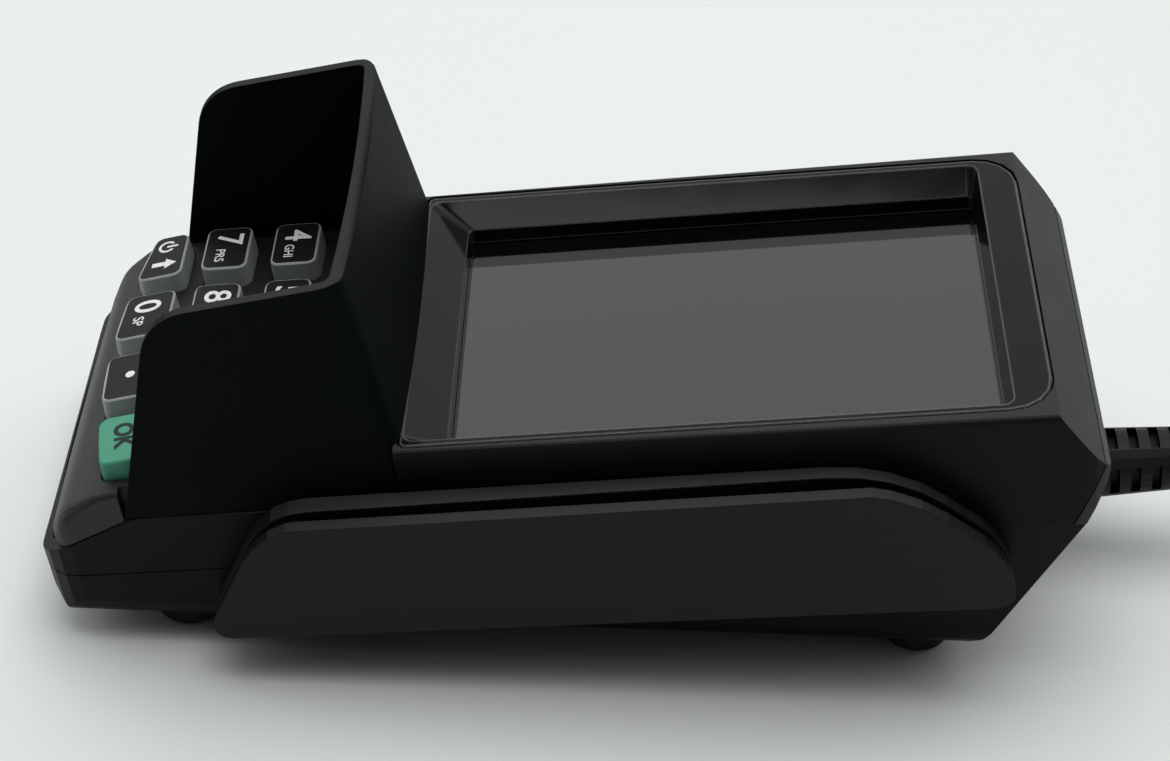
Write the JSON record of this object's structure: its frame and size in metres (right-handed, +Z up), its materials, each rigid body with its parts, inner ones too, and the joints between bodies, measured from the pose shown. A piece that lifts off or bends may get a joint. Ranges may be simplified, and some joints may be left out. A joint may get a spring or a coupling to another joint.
{
  "type": "countertop payment terminal",
  "caption": "Wired counter-top payment terminal with keypad behind a privacy shield, touch screen, side swipe rail, chip card slot and coiled cord.",
  "frame": {"origin": "middle of the footprint of the casing and swipe rail, on the surface that the feet stand on", "axes": "+X to the user's right, where the swipe rail is; +Y away from the user, from the keypad towards the cord; +Z up"},
  "size_m": [0.0874, 0.3416, 0.0844],
  "materials": {
    "housing": "matt, fine grain",
    "deck": "matt",
    "shield": "matt, fine grain",
    "bezel": "high gloss",
    "glass": "smooth, backed by a dark display",
    "black_plastic": "satin",
    "board": "solder resist",
    "silicone": "soft",
    "steel": "plain",
    "key": "satin, dark printed tops with light legends",
    "green_key": "satin",
    "red_key": "satin",
    "amber_key": "satin",
    "rubber": "matt"
  },
  "bodies": {
    "terminal": {"upper_housing": "housing", "lower_housing": "housing", "bottom_cover": "housing", "rear_cover": "housing", "swipe_rail": "housing", "keypad_deck": "deck", "privacy_shield": "shield", "screen_bezel": "bezel", "touch_glass": "glass", "display_module": "black_plastic", "chip_reader": "black_plastic", "cable_socket": "black_plastic", "speaker": "black_plastic", "plug_grip": "black_plastic", "antenna_board": "board", "main_board": "board", "keypad_mat": "silicone", "backup_battery": "steel", "housing_screw_1": "steel", "housing_screw_2": "steel", "housing_screw_3": "steel", "housing_screw_4": "steel", "cover_screw": "steel", "plug_shell": "steel", "foot_front_left": "rubber", "foot_front_right": "rubber", "foot_rear_left": "rubber", "foot_rear_right": "rubber", "cable_boot": "rubber", "cord_lead": "rubber", "cord_coil": "rubber", "cord_tail": "rubber"},
    "key_1": {"key_1": "key"},
    "key_2": {"key_2": "key"},
    "key_3": {"key_3": "key"},
    "key_4": {"key_4": "key"},
    "key_5": {"key_5": "key"},
    "key_6": {"key_6": "key"},
    "key_7": {"key_7": "key"},
    "key_8": {"key_8": "key"},
    "key_9": {"key_9": "key"},
    "key_0": {"key_0": "key"},
    "key_point": {"key_point": "key"},
    "key_ok": {"key_ok": "green_key"},
    "key_cancel": {"key_cancel": "red_key"},
    "key_clear": {"key_clear": "amber_key"},
    "key_menu": {"key_menu": "key"},
    "key_power": {"key_power": "key"},
    "swipe_head": {"mag_head": "steel", "mag_spring": "steel"}
  },
  "joints": [
    {"name": "key_1_press", "type": "slide", "parent": "terminal", "child": "key_1", "axis": [0, 0.1305, -0.9914], "range_m": [0, 0.001], "stiffness_N_per_m": 1000},
    {"name": "key_2_press", "type": "slide", "parent": "terminal", "child": "key_2", "axis": [0, 0.1305, -0.9914], "range_m": [0, 0.001], "stiffness_N_per_m": 1000},
    {"name": "key_3_press", "type": "slide", "parent": "terminal", "child": "key_3", "axis": [0, 0.1305, -0.9914], "range_m": [0, 0.001], "stiffness_N_per_m": 1000},
    {"name": "key_4_press", "type": "slide", "parent": "terminal", "child": "key_4", "axis": [0, 0.1305, -0.9914], "range_m": [0, 0.001], "stiffness_N_per_m": 1000},
    {"name": "key_5_press", "type": "slide", "parent": "terminal", "child": "key_5", "axis": [0, 0.1305, -0.9914], "range_m": [0, 0.001], "stiffness_N_per_m": 1000},
    {"name": "key_6_press", "type": "slide", "parent": "terminal", "child": "key_6", "axis": [0, 0.1305, -0.9914], "range_m": [0, 0.001], "stiffness_N_per_m": 1000},
    {"name": "key_7_press", "type": "slide", "parent": "terminal", "child": "key_7", "axis": [0, 0.1305, -0.9914], "range_m": [0, 0.001], "stiffness_N_per_m": 1000},
    {"name": "key_8_press", "type": "slide", "parent": "terminal", "child": "key_8", "axis": [0, 0.1305, -0.9914], "range_m": [0, 0.001], "stiffness_N_per_m": 1000},
    {"name": "key_9_press", "type": "slide", "parent": "terminal", "child": "key_9", "axis": [0, 0.1305, -0.9914], "range_m": [0, 0.001], "stiffness_N_per_m": 1000},
    {"name": "key_0_press", "type": "slide", "parent": "terminal", "child": "key_0", "axis": [0, 0.1305, -0.9914], "range_m": [0, 0.001], "stiffness_N_per_m": 1000},
    {"name": "key_point_press", "type": "slide", "parent": "terminal", "child": "key_point", "axis": [0, 0.1305, -0.9914], "range_m": [0, 0.001], "stiffness_N_per_m": 1000},
    {"name": "key_ok_press", "type": "slide", "parent": "terminal", "child": "key_ok", "axis": [0, 0.1305, -0.9914], "range_m": [0, 0.001], "stiffness_N_per_m": 1000},
    {"name": "key_cancel_press", "type": "slide", "parent": "terminal", "child": "key_cancel", "axis": [0, 0.1305, -0.9914], "range_m": [0, 0.001], "stiffness_N_per_m": 1000},
    {"name": "key_clear_press", "type": "slide", "parent": "terminal", "child": "key_clear", "axis": [0, 0.1305, -0.9914], "range_m": [0, 0.001], "stiffness_N_per_m": 1000},
    {"name": "key_menu_press", "type": "slide", "parent": "terminal", "child": "key_menu", "axis": [0, 0.1305, -0.9914], "range_m": [0, 0.001], "stiffness_N_per_m": 1000},
    {"name": "key_power_press", "type": "slide", "parent": "terminal", "child": "key_power", "axis": [0, 0.1305, -0.9914], "range_m": [0, 0.001], "stiffness_N_per_m": 1000},
    {"name": "swipe_head_push", "type": "slide", "parent": "terminal", "child": "swipe_head", "axis": [-1, 0, 0], "range_m": [0, 0.0006], "stiffness_N_per_m": 1500}
  ]
}
